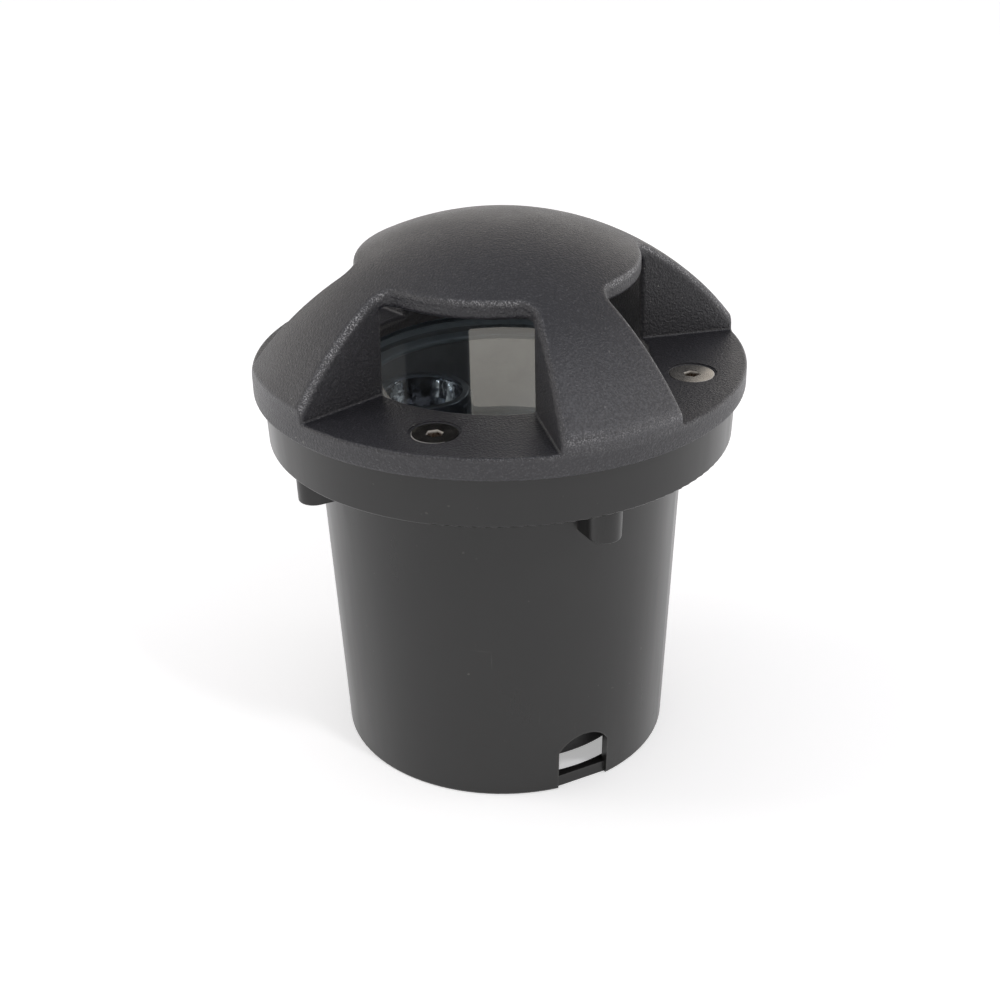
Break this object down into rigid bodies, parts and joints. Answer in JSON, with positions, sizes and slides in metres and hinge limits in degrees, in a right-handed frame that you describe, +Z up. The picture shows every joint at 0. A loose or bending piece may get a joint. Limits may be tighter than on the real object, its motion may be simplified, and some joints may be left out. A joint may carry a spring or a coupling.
{
  "type": "in-ground well light",
  "caption": "Round in-ground well light: domed cast cover with side windows on diagonal arms, flat glass, lamp on a swivel and tilt bracket, collared plastic sleeve.",
  "frame": {"origin": "centre of the sleeve's bottom ring, on the surface the light stands on", "axes": "+Z up along the light's axis; windows face -Y, +X, +Y and -X, arms and cable notch on the diagonals, the notch towards +X -Y"},
  "size_m": [0.142, 0.142, 0.1603],
  "materials": {
    "cover_powder_coat": "fine textured black powder coat on die-cast aluminium",
    "housing_coat": "satin black coat on cast aluminium",
    "ring_aluminium": "turned aluminium, dulled",
    "sleeve_abs": "smooth satin black ABS",
    "stainless": "plain stainless steel",
    "bracket_steel": "brushed stainless strip",
    "holder_steel": "plain zinc-coated steel sheet",
    "brass": "turned brass",
    "lens_glass": "clear toughened glass",
    "lamp_glass": "clear quartz and lamp glass",
    "reflector_glass": "facetted glass with dichroic mirror coat",
    "silicone": "matte silicone",
    "nylon": "black nylon",
    "ceramic": "unglazed steatite",
    "lead_sleeving": "silicone and glass sleeving",
    "connector_plastic": "natural nylon"
  },
  "bodies": {
    "root": {"top_cover": "cover_powder_coat", "cover_screws": "stainless", "cover_screw_inserts": "brass", "sleeve": "sleeve_abs", "lamp_housing": "housing_coat", "trim_ring": "ring_aluminium", "housing_screws": "stainless", "housing_screw_washers": "stainless", "housing_screw_inserts": "brass", "lens_glass": "lens_glass", "lens_gasket_lower": "silicone", "lens_gasket_upper": "silicone", "gland_body": "nylon", "gland_washer": "silicone", "gland_seal": "silicone", "gland_dome_nut": "nylon", "gland_locknut": "nylon", "swivel_insert": "brass", "swivel_washer": "stainless", "swivel_bolt": "stainless"},
    "lamp_swivel": {"lamp_bracket": "bracket_steel", "swivel_wave_washer": "stainless", "pivot_screw": "stainless", "pivot_wave_washer": "stainless", "pivot_nut": "stainless"},
    "lamp_head": {"lamp_holder": "holder_steel", "lamp_clip": "stainless", "lamp_reflector": "reflector_glass", "lamp_front_glass": "lamp_glass", "lamp_base": "ceramic", "lamp_capsule": "lamp_glass", "lamp_pins": "stainless", "lamp_socket": "ceramic", "socket_contacts": "brass", "socket_leads": "lead_sleeving", "lead_connector": "connector_plastic", "connector_screws": "brass"}
  },
  "joints": [
    {"name": "lamp_swivel_joint", "type": "hinge", "parent": "root", "child": "lamp_swivel", "pos_m": [0, 0, 0.0338], "axis": [0, 0, 1], "range_deg": [-165, 165]},
    {"name": "lamp_tilt_joint", "type": "hinge", "parent": "lamp_swivel", "child": "lamp_head", "pos_m": [0, 0, 0.068], "axis": [0.9848, 0.1736, 0], "range_deg": [-20, 20]}
  ]
}
